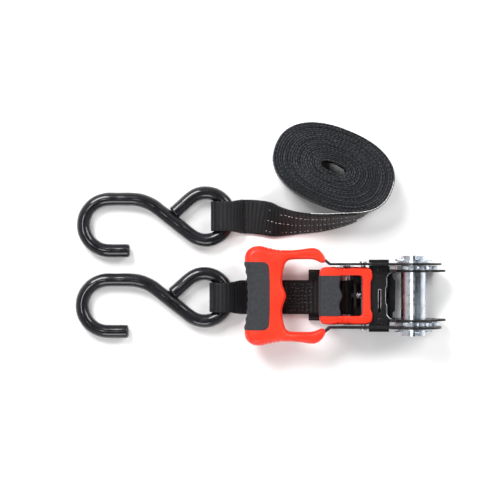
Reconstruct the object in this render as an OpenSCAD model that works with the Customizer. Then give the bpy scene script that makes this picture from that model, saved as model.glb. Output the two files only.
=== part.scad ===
// Ratchet tie down, two pieces lying on a table at z = 0: a ratchet with a padded handle, folded
// shut, on a short hooked strap, and a long hooked strap whose free length is wound into a roll.
// Sizes below are measured from the spool's axis: +X runs from the hooks towards the spool.

/* [Set] */
// Spool axis to the middle of the set, along X
spool_x = 113.2; // [112:0.1:114]
// Spool middle to the middle of the set, along Y
spool_y = -45.5; // [-46.5:0.1:-44.5]

/* [Webbing] */
// Width of the webbing
web_w = 25.4; // [24:0.1:26]
// Width where the webbing is drawn in to pass the hook's eye
web_eye_w = 22; // [21.5:0.1:22.2]
// Thickness of the webbing
web_t = 1.2; // [1:0.05:1.25]
// Air left between two layers that are sewn together
layer_gap = 0.06; // [0.04:0.01:0.1]

/* [Spool and wheels] */
// Height of the spool's axis above the table
axis_z = 22; // [21.9:0.05:22.1]
// Radius of the spool
spool_r = 9.06; // [9:0.01:9.08]
// Length of the spool, end to end
spool_len = 59; // [58.5:0.5:60]
// Width of the webbing slot between the two halves
slot_w = 4.4; // [4:0.1:5]
// Lean of the slot from upright, in degrees
slot_lean = 17; // [10:1:20]
// Teeth on each ratchet wheel
teeth = 12; // [12:1:12]
// Radius over the teeth
wheel_r = 18.1; // [17.9:0.05:18.1]
// Radius at the bottom of the gullets
wheel_root_r = 14.6; // [14.4:0.1:14.7]
// Thickness of each wheel
wheel_t = 2.5; // [2.3:0.1:2.6]
// Middle of each wheel from the ratchet's centre line
wheel_y = 20.75; // [20.7:0.05:20.8]
// Radius of the bores that the spool turns in
bore_r = 9.12; // [9.11:0.01:9.15]

/* [Base] */
// Thickness of the pressed steel
steel_t = 1.6; // [1.5:0.05:1.65]
// Middle of each side plate from the centre line
base_y = 18.2; // [18.1:0.05:18.25]
// Rear end of the base, behind the spool
base_rear = 76.4; // [75:0.1:78]
// Front tip of the base, ahead of the spool
base_front = 24.6; // [24:0.1:26]
// Radius of the side plates around the spool
cheek_r = 14.2; // [13.5:0.1:14.3]
// Radius of the cam lobes that hold the drive pawl off the wheels
cam_r = 18.1; // [17.8:0.1:18.15]
// Anchor bolt behind the spool
anchor_x = 48.4; // [48:0.1:49]
// Anchor bolt above the table
anchor_z = 6.5; // [6.4:0.1:6.6]
// Radius of the anchor bolt
anchor_r = 3; // [2.8:0.1:3]

/* [Pawls] */
// Thickness of both pawl plates
pawl_t = 2.5; // [2.2:0.1:2.5]
// Tip of the drive pawl at the wheels, behind the axis
drive_tip = 18.4; // [18.3:0.1:18.6]
// How far the release ring pulls the drive pawl back
drive_travel = 4; // [3:0.5:4]
// Tip of the lock pawl, behind the axis
lock_tip = 12.6; // [12.5:0.1:12.8]
// Middle of the lock pawl above the table
lock_z = 12.85; // [12.8:0.05:12.9]
// How far the lock pawl is pushed back
lock_travel = 4.2; // [4:0.1:4.2]

/* [Handle] */
// Inner face of each handle arm from the centre line
arm_in = 22.5; // [22.4:0.05:22.6]
// Radius of the arms around the spool
arm_r = 20.8; // [20:0.1:21]
// Height of the arms' straight part
arm_h = 16; // [15:0.5:16]
// Handle grip's far edge, behind the spool
grip_end = 124.4; // [123:0.1:125]
// Thickness of the moulded grip
grip_h = 21; // [19:0.5:21]
// Thickness of the moulded side rails
rail_h = 16; // [15:0.5:17]
// Steel bar inside the grip, behind the spool
bar_x = 108; // [107:0.5:109]
// Radius of that bar
bar_r = 3.5; // [3:0.1:3.6]

/* [Release ring] */
// Rear end of the ring, behind the spool
ring_rear = 69.4; // [69:0.1:70]
// Front end of the ring, behind the spool
ring_front = 30.2; // [30:0.1:30.5]
// Width of the ring
ring_w = 42.6; // [42:0.1:43]
// Thickness of the ring
ring_h = 8.8; // [8:0.1:9]

/* [Hooks] */
// Radius of the hook's steel rod
rod_r = 4; // [3.8:0.1:4]
// Radius over the vinyl coating
coat_r = 5; // [4.9:0.05:5]
// Radius of the eye, to the rod's middle
eye_r = 17.8; // [17.6:0.1:18.2]
// Radius of the hook's big bend, to the rod's middle
bend_r = 19.3; // [18:0.1:20]
// Length of the straight shank
shank_len = 32.4; // [30:0.1:34]
// Angle of the shank to the strap, in degrees
shank_angle = 38.3; // [37:0.1:40]
// Length of the straight at the hook's open tip
tip_len = 11; // [8:0.5:14]

/* [Roll] */
// Half length of the roll
roll_a = 45.9; // [45.6:0.1:46.4]
// Half width of the roll
roll_b = 29.3; // [29.2:0.1:30.4]
// Turns of webbing in the roll
roll_turns = 20; // [19:1:20]
// Lean of the roll's long axis, in degrees
roll_lean = -22; // [-24:0.5:-20]
// Half length of the innermost turn
roll_core_a = 9.4; // [9:0.1:10]
// Half width of the innermost turn
roll_core_b = 3.7; // [3.6:0.1:3.8]

/* [Hidden] */

eps = 0.03;
big = 200;
gap = 0.2;
tube_up = [0.11, 0.07, 0.99];
black_steel = [0.09, 0.09, 0.10];
zinc = [0.74, 0.76, 0.80];
red_plastic = [0.93, 0.22, 0.16];
black_rubber = [0.17, 0.17, 0.19];
black_webbing = [0.06, 0.06, 0.07];
black_vinyl = [0.04, 0.04, 0.05];

// base
base_in = base_y - steel_t / 2;
base_out = base_y + steel_t / 2;
floor_front = 15.5;
cutout_rear = 68.6;
tab_back = 43.3;
tab_half_w = 9;
tab_h = 16.5;
base_outline = [
    [-base_rear, 0], [-base_rear, 4], [-66, 9.5], [-54, 12.5], [-40, 14.4], [-34, 14.9], [-29, 18],
    [-12, 18],
    [0, axis_z], [12, 19], [20, 19], [base_front, 15], [base_front, 9], [18, 0]
];

// pawls and their springs
drive_low = axis_z - pawl_t / 2;
drive_back = 32.7;
tang_x = 26;
tie_x = 36.5;
tie_z = 17.7;
tie_r = 1.9;
rivet_x = 24.6;
rivet_y = 18.9;
lock_low = lock_z - pawl_t / 2;
lock_back = 35.5;
ear_y = 22.2;
drive_spring_z = 17.4;

// handle
arm_out = arm_in + steel_t;
arm_reach = 112;
arm_wide = 29;
pad_front = 106;
pad_half_w = 25;
pad_skin = 3;
grip_low = axis_z - grip_h / 2;
// Half of the moulding's outline, from the grip's far edge round to the grip's inner edge
shell_half = [
    [-grip_end, 0], [-grip_end, 24], [-123.4, 30], [-121.9, 32.7], [-120.4, 34.9], [-117, 36.5],
    [-112, 36.8], [-106.5, 35.6], [-99, 34.1], [-90, 33.8], [-80.5, 34.6], [-74, 35.1],
    [-70.8, 34.6], [-67.8, 32.7], [-66.2, 30.5], [-65, 28.3], [-64.9, 26.2], [-66, 24.4],
    [-67.6, 24.2], [-69.6, 25.2], [-72.3, 26.6], [-92, 26.6], [-94.6, 23.8], [-96.5, 17.2],
    [-96.5, 10.4], [-94.6, 3.9], [-93.7, 0]
];

// release ring
ring_low = axis_z + 1 - ring_h / 2;
ring_hole = [[-54, -15], [-37.5, 15]];
ring_tongue = 35;

// hooks: the rod's middle at the strap end of the eye is the hook's own origin
loop_x = -135.6;
hook_z = web_t + 0.45 + coat_r;
leg_angle = 42;
leg_len = 14.4;
bend_up_r = 32;
top_len = 16;
short_y = -1.6;
short_shift = -1;
long_y = 58.8;
hook_tilt = asin((hook_z - coat_r) / 109.3);

// straps: side view of the loop that holds a hook, as [x, z] from the hook's origin
sewn_z = web_t * 1.5 + layer_gap;
eye_loop = [
    [13.4, 2.5], [9.5, 5.6], [4.5, 12.2], [-1, 15.6], [-5.5, 16.2], [-10, 14.2], [-13.2, 9.2],
    [-13.4, 6.2], [-11.9, 3.2], [-6.6, 0.8], [0, 0.64]
];
anchor_loop_r = anchor_r + 0.25 + web_t / 2;

// roll
roll_x = -59;
roll_y = 94.4;
roll_start = -35;
roll_steps = 30;
roll_fullness = 0.87;

// ---- helpers ----

module seat() translate([spool_x, spool_y, 0]) children();
module on_axis() translate([0, 0, axis_z]) children();
// A drawing in X and Z, given a thickness along Y
module upright(t) rotate([90, 0, 0]) linear_extrude(height = t, center = true) children();
module rod_y(r, len) rotate([90, 0, 0]) cylinder(r = r, h = len, center = true, $fn = 64);
module rod_x(r, len) rotate([0, 90, 0]) cylinder(r = r, h = len, $fn = 48);
module box(low, high) translate(low) cube(high - low);
module both_sides() for (s = [-1, 1]) scale_y(s) children();
module scale_y(s) mirror([0, s < 0 ? 1 : 0, 0]) children();
module rounded_rect(low, high, r) {
    for (x = [low[0] + r, high[0] - r])
        for (y = [low[1] + r, high[1] - r])
            translate([x, y]) circle(r = r, $fn = 40);
    translate([low[0] + r, low[1]]) square([high[0] - low[0] - 2 * r, high[1] - low[1]]);
    translate([low[0], low[1] + r]) square([high[0] - low[0], high[1] - low[1] - 2 * r]);
}

function flip(points) = [for (i = [len(points) - 1:-1:0]) [points[i][0], -points[i][1]]];
function unit(v) = v / norm(v);
// A point of the smooth curve through p, between its points i and i + 1
function bend_at(p, i, t) =
    let (a = p[max(i - 1, 0)], b = p[i], c = p[i + 1], d = p[min(i + 2, len(p) - 1)])
    0.5 * (2 * b + (c - a) * t + (2 * a - 5 * b + 4 * c - d) * t * t
           + (3 * b - a - 3 * c + d) * t * t * t);
// The smooth curve through p, n steps from each point to the next
function smooth(p, n) = concat(
    [for (i = [0:len(p) - 2]) for (k = [0:n - 1]) bend_at(p, i, k / n)], [p[len(p) - 1]]);
function heading(p, i) = unit(p[min(i + 1, len(p) - 1)] - p[max(i - 1, 0)]);
// One side of a flat ribbon whose middle line is p, s times d away from it
function side(p, d, s) = [
    for (i = [0:len(p) - 1]) let (h = heading(p, i)) p[i] + s * d * [-h[1], h[0]]];
function back(p) = [for (i = [len(p) - 1:-1:0]) p[i]];
function ribbon(p, t) = concat(side(p, t / 2, 1), back(side(p, t / 2, -1)));
function arc(c, r, a0, a1, n) = [
    for (i = [0:n]) let (a = a0 + (a1 - a0) * i / n) c + r * [cos(a), sin(a)]];
function shifted(p, v) = [for (q = p) q + v];

// A tube with k sides along the points p, with radius r[i] at point i
module tube(p, r, k) {
    rings = [for (i = [0:len(p) - 1])
        let (h = heading(p, i), u = unit(cross(h, tube_up)), v = cross(h, u))
        for (j = [0:k - 1]) p[i] + r[i] * (cos(360 * j / k) * u + sin(360 * j / k) * v)];
    n = len(p);
    walls = [for (i = [0:n - 2]) for (j = [0:k - 1])
        let (a = i * k + j, b = i * k + (j + 1) % k) each [[a, b, b + k], [a, b + k, a + k]]];
    first = [[for (j = [k - 1:-1:0]) j]];
    last = [[for (j = [0:k - 1]) (n - 1) * k + j]];
    polyhedron(points = rings, faces = back_faces(concat(walls, first, last)), convexity = 8);
}
function back_faces(f) = [for (q = f) back(q)];

// A compression spring along X from x0 to x1
module spring(x0, x1, z, r, wire, turns) {
    steps = turns * 12;
    run = x1 - x0 - 2 * wire;
    tube([for (i = [0:steps]) [x0 + wire + run * i / steps, r * cos(360 * turns * i / steps),
                               z + r * sin(360 * turns * i / steps)]],
         [for (i = [0:steps]) wire], 6);
}

// ---- base ----

module base_frame() seat() color(black_steel) difference() {
    union() {
        both_sides() translate([0, base_y, 0]) upright(steel_t) {
            polygon(base_outline);
            translate([0, axis_z]) circle(r = cheek_r, $fn = 96);
            for (s = [-1, 1]) intersection() {
                translate([0, axis_z]) circle(r = cam_r, $fn = 96);
                polygon([[0, 16], [s * 20, 16], [s * 20, axis_z + 2.6],
                         [s * 14, axis_z + 5], [0, axis_z]]);
            }
        }
        box([-base_rear, -base_in - eps, 0], [-floor_front, base_in + eps, steel_t]);
        box([-tab_back, -tab_half_w, 0], [-tab_back + steel_t, tab_half_w, tab_h]);
    }
    box([-cutout_rear, -15.5, -1], [-tab_back, 15.5, steel_t + 1]);
    on_axis() rod_y(bore_r, big);
    translate([-anchor_x, 0, anchor_z]) rod_y(anchor_r + 0.05, big);
    both_sides() box([-22.2 - lock_travel, base_in - 1, lock_low - gap],
                     [-lock_tip + gap, big, lock_low + pawl_t + gap]);
    box([-46, -1.75, lock_low - gap], [-40, 1.75, lock_low + pawl_t + gap]);
}

module anchor_bolt() seat() color(zinc) translate([-anchor_x, 0, anchor_z]) {
    translate([0, -0.4, 0]) rod_y(anchor_r, 2 * base_out + 6.4);
    translate([0, base_out + 1.6, 0]) rotate([90, 0, 0])
        cylinder(r = 5.6, h = 3.2, center = true, $fn = 6);
}

module anchor_nut() seat() color(zinc) translate([-anchor_x, -base_out - 1.65, anchor_z])
    difference() {
        rotate([90, 0, 0]) cylinder(r = 5.7, h = 3.2, center = true, $fn = 6);
        rod_y(anchor_r + eps, 10);
    }

// ---- lock pawl ----

module lock_pawl() seat() color(black_steel) difference() {
    union() {
        box([-lock_back, -17, lock_low], [-14.4, 17, lock_low + pawl_t]);
        translate([0, 0, lock_low]) linear_extrude(height = pawl_t)
            polygon([[-16, -12.9], [-14.4, -12.9], [-lock_tip, -11], [-lock_tip, 11],
                     [-14.4, 12.9], [-16, 12.9]]);
        both_sides() box([-22, 16.5, lock_low], [-lock_tip, ear_y, lock_low + pawl_t]);
        box([-45, -1.5, lock_low], [-lock_back + eps, 1.5, lock_low + pawl_t]);
    }
    box([-19.8, -3, 0], [-17.4, 3, big]);
}

module lock_spring() seat() color(zinc)
    spring(-tab_back + steel_t, -lock_back, lock_z, 2.42, 0.4, 4);

// ---- spool and wheels ----

// Half of the spool's section; s is -1 for the rear half and 1 for the front one
module half_round(s, r, half_slot) intersection() {
    circle(r = r, $fn = 96);
    rotate(-slot_lean) translate([s > 0 ? half_slot : -big - half_slot, -big / 2]) square(big);
}

module spool_half(s) seat() on_axis() color(zinc) difference() {
    upright(spool_len) half_round(s, spool_r, slot_w / 2);
    both_sides() translate([0, 26.5, 0]) rotate([0, slot_lean, 0]) translate([-20, 0, 0])
        rod_x(1.25, 40);
}
module spool_half_front() spool_half(1);
module spool_half_rear() spool_half(-1);

pitch = 360 / teeth;
first_tooth = 174;
// One tooth's outline as [radius, angle] steps: steep face, gullet floor, sloping back, land
tooth = [[wheel_r, 0], [wheel_root_r, 0.5], [wheel_root_r, 0.35 * pitch], [wheel_r, 0.8 * pitch]];
wheel_outline = [for (k = [0:teeth - 1]) for (q = tooth)
    q[0] * [cos(first_tooth + k * pitch + q[1]), sin(first_tooth + k * pitch + q[1])]];

module ratchet_wheel(s) seat() on_axis() color(zinc) translate([0, s * wheel_y, 0])
    upright(wheel_t) difference() {
        polygon(wheel_outline);
        for (h = [-1, 1]) half_round(h, spool_r + 0.04, slot_w / 2 - 0.04);
    }
module ratchet_wheel_left() ratchet_wheel(1);
module ratchet_wheel_right() ratchet_wheel(-1);

module spool_washers() seat() on_axis() color(zinc) both_sides()
    translate([0, arm_out + gap + 0.45, 0]) difference() {
        rod_y(12.2, 0.9);
        rod_y(bore_r, 4);
    }

module cotter_pins() seat() on_axis() color(zinc) both_sides() translate([0, 26.5, 0])
    rotate([0, slot_lean, 0]) {
        translate([-11.2, 0, 0]) rod_x(1.2, 21.6);
        translate([-12.2, 0, 0]) rotate([90, 0, 0]) rotate_extrude($fn = 48)
            translate([1.3, 0]) circle(r = 0.75, $fn = 24);
        for (s = [-1, 1]) translate([10.2, 0, 0]) rotate([0, 38 * s, 0]) rod_x(0.6, 4.4);
    }

// ---- handle ----

module arm_plan(c) polygon([
    [25, arm_in - c], [-62, arm_in - c], [-70, arm_wide - c], [-arm_reach - c, arm_wide - c],
    [-arm_reach - c, arm_wide + steel_t + c], [-69.2, arm_wide + steel_t + c],
    [-61.2, arm_out + c], [25, arm_out + c]
]);
module arm_side(c)
    polygon([[0, axis_z - arm_h / 2 - c], [-58, axis_z - arm_h / 2 - c],
             [-64, axis_z - 5 - c], [-arm_reach - c, axis_z - 5 - c],
             [-arm_reach - c, axis_z + 5 + c], [-64, axis_z + 5 + c],
             [-58, axis_z + arm_h / 2 + c], [0, axis_z + arm_h / 2 + c]]);
module arm_strip(c) intersection() {
    linear_extrude(height = 2 * axis_z + 2) arm_plan(c);
    upright(2 * big) arm_side(c);
}
module handle_arm(s) seat() color(black_steel) scale_y(s) difference() {
    union() {
        arm_strip(0);
        translate([0, arm_in + steel_t / 2, axis_z]) rotate([90, 0, 0])
            cylinder(r = arm_r, h = steel_t, center = true, $fn = 128);
    }
    on_axis() rod_y(bore_r, big);
    box([-31.3 - drive_travel, 0, drive_low - gap], [-14.9, big, drive_low + pawl_t + gap]);
    translate([-tie_x, 0, tie_z]) rod_y(tie_r + 0.02, big);
    translate([-bar_x, 0, axis_z]) rod_y(bar_r + 0.02, big);
}
module handle_arm_left() handle_arm(1);
module handle_arm_right() handle_arm(-1);

module handle_tie_rod() seat() color(zinc) translate([-tie_x, 0, tie_z]) {
    rod_y(tie_r, 2 * arm_out);
    both_sides() translate([0, arm_out + 0.6, 0]) rod_y(tie_r + 1, 1.2);
}

module handle_bar() seat() color(zinc) translate([-bar_x, 0, axis_z])
    rod_y(bar_r, 2 * (arm_wide + steel_t));

module pad_space(c) difference() {
    box([-grip_end - 0.2, -pad_half_w - c, grip_low - 0.3 - c],
        [-pad_front + c, pad_half_w + c, grip_low + grip_h + 0.3 + c]);
    box([-grip_end + pad_skin + c, -big, grip_low + pad_skin + c],
        [0, big, grip_low + grip_h - pad_skin - c]);
}
module handle_shell() seat() color(red_plastic) difference() {
    intersection() {
        linear_extrude(height = 2 * axis_z) polygon(concat(shell_half, flip(shell_half)));
        union() {
            box([-big, -big, axis_z - rail_h / 2], [0, big, axis_z + rail_h / 2]);
            box([-big, -big, grip_low], [-92, big, grip_low + grip_h]);
        }
    }
    pad_space(eps);
    both_sides() arm_strip(eps);
    translate([-bar_x, 0, axis_z]) rod_y(bar_r + eps, 2 * (arm_wide + steel_t));
}
module handle_pad() seat() color(black_rubber) pad_space(0);

// ---- drive pawl and release ring ----

// Half of the pawl's front edge, from the middle out to the ear
drive_half = [
    [-20.3, 0], [-20.3, 5.6], [-19.4, 6.6], [-19.4, 14], [-17.9, 16], [-15.4, 17],
    [-drive_tip, 17.2], [-drive_tip, arm_out + gap], [-18, arm_out + gap],
    [-18, 26.6], [-drive_back, 26.6], [-drive_back, arm_out + gap], [-31, arm_out + gap],
    [-31, arm_in - gap], [-drive_back, arm_in - gap]
];
module drive_pawl() seat() color(black_steel) difference() {
    union() {
        translate([0, 0, drive_low]) linear_extrude(height = pawl_t)
            polygon(concat(flip(drive_half), drive_half));
        box([-ring_tongue, -12, drive_low], [-drive_back + eps, 12, drive_low + pawl_t]);
        box([-tang_x - steel_t, -4, lock_low + pawl_t + 0.6], [-tang_x, 4, drive_low + 1]);
    }
    box([-25.7, -12.4, 0], [-24.2, 4.6, big]);
    both_sides() translate([-rivet_x, rivet_y, 0]) cylinder(r = 1.6, h = big, $fn = 32);
}

module pawl_rivets() seat() color(black_steel) both_sides() translate([-rivet_x, rivet_y, 0]) {
    translate([0, 0, ring_low + 0.1]) cylinder(r = 1.55, h = 5.2, $fn = 32);
    translate([0, 0, drive_low + pawl_t + eps]) cylinder(r = 2.2, h = 0.7, $fn = 40);
}

module drive_spring() seat() color(zinc)
    spring(-tie_x + tie_r, -tang_x - steel_t, drive_spring_z, 2.05, 0.4, 5);

module ring_pad_space(c) difference() {
    box([-ring_rear - 0.2, -14.8 - c, ring_low - 0.6 - c],
        [ring_hole[0][0] + c, 14.8 + c, ring_low + ring_h + 0.6 + c]);
    box([-ring_rear + 2.4 + c, -big, ring_low + 2 + c],
        [ring_hole[0][0] - 2.4 - c, big, ring_low + ring_h - 2 - c]);
}
module release_ring() seat() color(red_plastic) difference() {
    union() {
        translate([0, 0, ring_low]) linear_extrude(height = ring_h) difference() {
            rounded_rect([-ring_rear, -ring_w / 2], [-ring_front, ring_w / 2], 4.5);
            rounded_rect(ring_hole[0], ring_hole[1], 2.5);
        }
        both_sides() box([-ring_front - 1, 16.5, ring_low], [-21.8, ring_w / 2, drive_low]);
    }
    box([-drive_back - eps, -big, drive_low - eps], [0, big, drive_low + pawl_t + eps]);
    box([-ring_tongue - eps, -12 - eps, drive_low - eps], [0, 12 + eps, drive_low + pawl_t + eps]);
    both_sides() translate([-rivet_x, rivet_y, 0]) cylinder(r = 1.6, h = drive_low, $fn = 32);
    ring_pad_space(eps);
    box([-tie_x - tie_r - 0.4, -big, 0], [-tie_x + tie_r + drive_travel + 0.4, big, tie_z + tie_r + 0.3]);
    box([-tie_x, -2.8, 0], [0, 2.8, drive_spring_z + 2.7]);
}
module release_pad() seat() color(black_rubber) ring_pad_space(0);

// ---- hooks ----

// The middle line of the bent rod, lying flat: leg, eye, shank, bends and open tip
function hook_line(over) =
    let (leg_from = eye_r * [-1 - sin(leg_angle), cos(leg_angle)],
         leg_to = leg_from - (leg_len + over) * [cos(leg_angle), sin(leg_angle)],
         shank_from = eye_r * [-1 - sin(shank_angle), -cos(shank_angle)],
         shank_to = shank_from + shank_len * [-cos(shank_angle), sin(shank_angle)],
         rise_mid = shank_to - bend_up_r * [sin(shank_angle), cos(shank_angle)],
         bend_mid = rise_mid + [-top_len, bend_up_r - bend_r])
    concat([leg_to], arc([-eye_r, 0], eye_r, 90 + leg_angle, -90 - shank_angle, 22),
           arc(rise_mid, bend_up_r, 90 - shank_angle, 90, 5), arc(bend_mid, bend_r, 90, 270, 16),
           [bend_mid + [tip_len, -bend_r]]);
// The rod at radius r, with a round end at the open tip
module bent_rod(r, over, sides) {
    line = hook_line(over);
    tip = line[len(line) - 1];
    cap = [24, 48, 70, 86];
    tube(concat([for (q = line) [q[0], q[1], 0]], [for (c = cap) [tip[0] + r * sin(c), tip[1], 0]]),
         concat([for (q = line) r], [for (c = cap) r * cos(c)]), sides);
}
module hook_place(x, y) seat() translate([loop_x + x, y, hook_z]) rotate([0, -hook_tilt, 0])
    children();
module hook_rod(x, y) hook_place(x, y) color(zinc) bent_rod(rod_r, 0, 12);
module hook_coat(x, y) hook_place(x, y) color(black_vinyl) difference() {
    bent_rod(coat_r, coat_r - rod_r, 16);
    bent_rod(rod_r + 0.02, 0.02, 12);
}
module short_hook_rod() hook_rod(short_shift, short_y);
module short_hook_coat() hook_coat(short_shift, short_y);
module long_hook_rod() hook_rod(0, long_y);
module long_hook_coat() hook_coat(0, long_y);

// ---- straps ----

// Side view of the short strap's middle line: loop on the hook, run, loop on the anchor bolt
short_start = smooth(concat(
    [[-111, sewn_z - web_t - layer_gap + 0.02], [-118, 0.66]],
    back(shifted(eye_loop, [loop_x + short_shift, 0])),
    [[-116.5, sewn_z + 0.1], [-108, sewn_z + 0.02], [-96, 2.0], [-84, 2.75], [-66, 2.72],
     [-55, anchor_z - anchor_loop_r]]), 5);
short_bend = arc([-anchor_x, anchor_z], anchor_loop_r, -90, 96, 14);
short_tail = smooth([
    [-anchor_x - 0.45, anchor_z + anchor_loop_r - 0.02], [-54, 9.4], [-62, 6.9], [-70, 4.9],
    [-78, 4.15], [-86, 3.9], [-95, 3.35]], 5);
short_line = concat(short_start, short_bend, [for (i = [1:len(short_tail) - 1]) short_tail[i]]);

// Plan of the webbing: full width, drawn in towards the hook's eye
module strap_plan(x) polygon([
    [x - 30, -web_eye_w / 2], [x + 1, -web_eye_w / 2], [x + 12, -web_w / 2], [0, -web_w / 2],
    [0, web_w / 2], [x + 12, web_w / 2], [x + 1, web_eye_w / 2], [x - 30, web_eye_w / 2]
]);

module short_strap() seat() color(black_webbing) translate([0, short_y, 0]) intersection() {
    upright(2 * web_w) polygon(ribbon(short_line, web_t));
    linear_extrude(height = 40) strap_plan(loop_x + short_shift);
}

// A point of the roll's spiral, a turns after its outer end
function roll_radius(a) = [roll_a - (roll_a - roll_core_a) * a / roll_turns,
                           roll_b - (roll_b - roll_core_b) * a / roll_turns];
function full(c) = sign(c) * pow(abs(c), roll_fullness);
function roll_at(a) =
    let (q = roll_start + 360 * a, r = roll_radius(a), x = r[0] * full(cos(q)),
         y = r[1] * full(sin(q)))
    [roll_x + x * cos(roll_lean) - y * sin(roll_lean),
     roll_y + x * sin(roll_lean) + y * cos(roll_lean)];
roll_line = [for (i = [0:roll_turns * roll_steps]) roll_at(i / roll_steps)];

module strap_roll() seat() color(black_webbing) linear_extrude(height = web_w)
    polygon(ribbon(roll_line, web_t));

// Route of the long strap from its flat run into the roll, as [x, y, tilt]: the tilt turns the
// webbing from flat on the table to standing on its edge
lead = [
    [-127, long_y, 0], [-118, long_y - 0.2, 0], [-109, 57.6, 8], [-98, 55.4, 36],
    [-83.5, 54.2, 55], [-67, 54.6, 63], [-50, 57.0, 72], [-38, 59.8, 82],
    [roll_at(0)[0], roll_at(0)[1], 90]
];
lead_fine = smooth(lead, 6);
// [position, across, outward] of the webbing at step i of the lead
function lead_frame(i) =
    let (h2 = heading([for (q = lead_fine) [q[0], q[1]]], i), h = [h2[0], h2[1], 0],
         flat = [-h2[1], h2[0], 0], tilt = min(90, max(0, lead_fine[i][2])),
         across = cos(tilt) * flat + sin(tilt) * [0, 0, 1], outward = cross(h, across))
    [[lead_fine[i][0], lead_fine[i][1], web_w / 2 * sin(tilt) + web_t / 2 * cos(tilt)],
     across, outward];
tail_end = 40;
tail_lift = web_t + layer_gap;
lead_run = [for (i = [0:len(lead_fine) - 1]) concat(lead_frame(i), [web_w])];
tail_run = [for (i = [tail_end:-1:0]) let (f = lead_frame(i))
    [f[0] + tail_lift * f[2], f[1], -f[2], web_w]];
loop_line = smooth(concat(
    [[9.6, sewn_z]], [for (i = [1:len(eye_loop) - 2]) eye_loop[i]], [[0, 0.62], [7.6, 0.6]]), 5);
function eye_width(x) = web_eye_w + (web_w - web_eye_w) * min(max((x - 1) / 11, 0), 1);
loop_run = [for (i = [0:len(loop_line) - 1])
    let (h = heading(loop_line, i), q = loop_line[i])
    [[q[0] + loop_x, long_y, q[1]], [0, 1, 0], [h[1], 0, -h[0]] * -1, eye_width(q[0])]];
long_run = concat(
    tail_run,
    [for (i = [1:len(loop_run) - 2]) loop_run[i]],
    lead_run);

// A ribbon through frames [position, across, outward, width]
module woven(run) {
    corners = [for (f = run) for (k = [[-1, -1], [1, -1], [1, 1], [-1, 1]])
        f[0] + k[0] * f[3] / 2 * f[1] + k[1] * web_t / 2 * f[2]];
    n = len(run);
    walls = [for (i = [0:n - 2]) for (j = [0:3]) let (a = 4 * i + j, b = 4 * i + (j + 1) % 4)
        each [[a, b, b + 4], [a, b + 4, a + 4]]];
    ends = [[0, 3, 2], [0, 2, 1], [4 * n - 4, 4 * n - 3, 4 * n - 2],
            [4 * n - 4, 4 * n - 2, 4 * n - 1]];
    polyhedron(points = corners, faces = concat(walls, ends), convexity = 10);
}
module long_strap() seat() color(black_webbing) woven(long_run);

base_frame();
anchor_bolt();
anchor_nut();
lock_pawl();
lock_spring();
handle_arm_left();
handle_arm_right();
handle_tie_rod();
handle_bar();
handle_shell();
handle_pad();
drive_pawl();
pawl_rivets();
drive_spring();
release_ring();
release_pad();
spool_half_front();
spool_half_rear();
ratchet_wheel_left();
ratchet_wheel_right();
spool_washers();
cotter_pins();
short_strap();
short_hook_rod();
short_hook_coat();
long_strap();
strap_roll();
long_hook_rod();
long_hook_coat();
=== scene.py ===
import bpy
import math
import numpy as np
from mathutils import Matrix, Vector
from mathutils.geometry import delaunay_2d_cdt


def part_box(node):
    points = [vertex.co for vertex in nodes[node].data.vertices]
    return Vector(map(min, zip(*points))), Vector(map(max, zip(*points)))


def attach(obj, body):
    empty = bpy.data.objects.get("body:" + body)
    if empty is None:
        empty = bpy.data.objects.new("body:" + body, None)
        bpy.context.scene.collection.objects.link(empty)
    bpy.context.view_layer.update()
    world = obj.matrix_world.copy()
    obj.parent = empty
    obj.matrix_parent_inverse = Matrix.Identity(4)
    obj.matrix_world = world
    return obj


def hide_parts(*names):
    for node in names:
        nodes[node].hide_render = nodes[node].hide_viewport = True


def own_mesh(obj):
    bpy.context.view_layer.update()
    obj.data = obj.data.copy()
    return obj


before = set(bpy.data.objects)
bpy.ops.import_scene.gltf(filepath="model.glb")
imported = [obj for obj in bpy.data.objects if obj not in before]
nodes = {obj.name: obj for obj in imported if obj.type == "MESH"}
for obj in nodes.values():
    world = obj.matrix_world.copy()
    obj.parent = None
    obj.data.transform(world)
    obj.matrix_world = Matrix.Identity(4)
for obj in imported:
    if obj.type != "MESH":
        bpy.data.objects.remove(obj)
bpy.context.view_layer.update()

# ---- view, floor and light ----
# The set lies on a pale paper sweep, and the camera looks straight down on it. Three big soft
# boxes stand round it and a small one hangs above, in a room with bright walls and a dim
# ceiling. Every length in this file is in metres, unless its own comment says mm.

# A point on the table under the middle of the spool's axis: everything is placed from it.
SPOOL_X = 0.1132
spool_low, spool_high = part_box("spool_half_front")
SEAT = np.array([SPOOL_X, (spool_low.y + spool_high.y) / 2, 0.0])

CAMERA_PLACE, CAMERA_LENS_MM, CAMERA_SENSOR_MM = (-0.0072, -0.0118, 1.20), 115.0, 36.0
camera = bpy.data.objects.new("camera", bpy.data.cameras.new("camera"))
camera.data.lens = CAMERA_LENS_MM
camera.data.sensor_width = CAMERA_SENSOR_MM
camera.location = CAMERA_PLACE
bpy.context.collection.objects.link(camera)
bpy.context.scene.camera = camera
bpy.context.scene.view_settings.view_transform = "Standard"


def link(obj):
    """Puts an object in the scene."""
    bpy.context.collection.objects.link(obj)
    return obj


def mesh_piece(name, points, faces):
    """A new smooth-shaded piece from an (n, 3) array of points and a list of faces."""
    data = bpy.data.meshes.new(name)
    data.from_pydata(np.asarray(points, float).tolist(), [], faces)
    data.polygons.foreach_set("use_smooth", np.ones(len(data.polygons), bool))
    data.update()
    return link(bpy.data.objects.new(name, data))


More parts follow.
